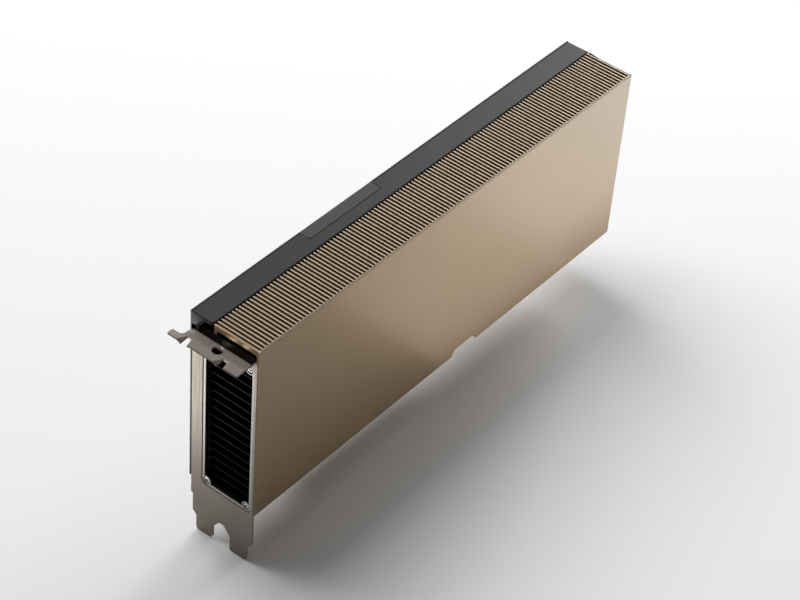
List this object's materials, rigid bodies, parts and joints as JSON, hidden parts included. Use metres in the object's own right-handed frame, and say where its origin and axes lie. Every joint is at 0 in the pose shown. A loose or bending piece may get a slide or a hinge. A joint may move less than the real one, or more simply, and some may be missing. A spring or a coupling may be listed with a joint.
{
  "type": "passive accelerator card",
  "caption": "Full-height dual-slot passively cooled accelerator card with a ribbed metal shroud, a vented steel bracket and an open finned air duct from end to end.",
  "frame": {"origin": "edge connector's datum: middle of the key notch, mid-plane of the board, bottom of the contacts", "axes": "+X from the bracket to the far end, +Z from the edge connector to the ribbed edge, -Y out of the shroud's large face"},
  "size_m": [0.2771, 0.0432, 0.1295],
  "materials": {
    "gold_aluminium": "satin anodised",
    "bracket_steel": "nickel plated, fine brushed",
    "vent_steel": "satin",
    "rail_black": "satin powder coat",
    "cover_black": "fine moulded texture",
    "backplate_black": "matt",
    "frame_bronze": "satin",
    "sink_metal": "plain mill finish",
    "base_metal": "satin, bronze tint",
    "board_resin": "solder mask",
    "contact_gold": "gold plated",
    "chip_black": "moulded package",
    "die_silicon": "polished silicon",
    "coil_grey": "pressed powder",
    "pad_grey": "soft pad",
    "capacitor_metal": "can with plastic sleeve",
    "ceramic_tan": "ceramic",
    "socket_black": "moulded",
    "pin_metal": "tin plated",
    "screw_steel": "plain",
    "spring_steel": "plain"
  },
  "bodies": {
    "root": {"backplate": "backplate_black", "backplate_screws": "screw_steel", "board_standoffs": "screw_steel", "bracket": "bracket_steel", "bracket_screws": "screw_steel", "bridge_contacts": "contact_gold", "bulk_capacitors": "capacitor_metal", "ceramic_capacitors": "ceramic_tan", "chip_stiffener": "spring_steel", "chip_substrate": "board_resin", "circuit_board": "board_resin", "connector_cover": "cover_black", "control_chips": "chip_black", "edge_contacts": "contact_gold", "floor_screws": "screw_steel", "front_frame": "frame_bronze", "heatsink_base": "base_metal", "heatsink_fins": "sink_metal", "inductors": "coil_grey", "memory_stacks": "chip_black", "power_pins": "pin_metal", "power_socket": "socket_black", "power_stages": "chip_black", "processor_die": "die_silicon", "rear_frame": "rail_black", "retention_plate": "spring_steel", "shroud": "gold_aluminium", "spring_screws": "screw_steel", "thermal_pads": "pad_grey", "top_rail": "rail_black", "vent_frame": "vent_steel", "vent_screws": "screw_steel"}
  },
  "joints": []
}
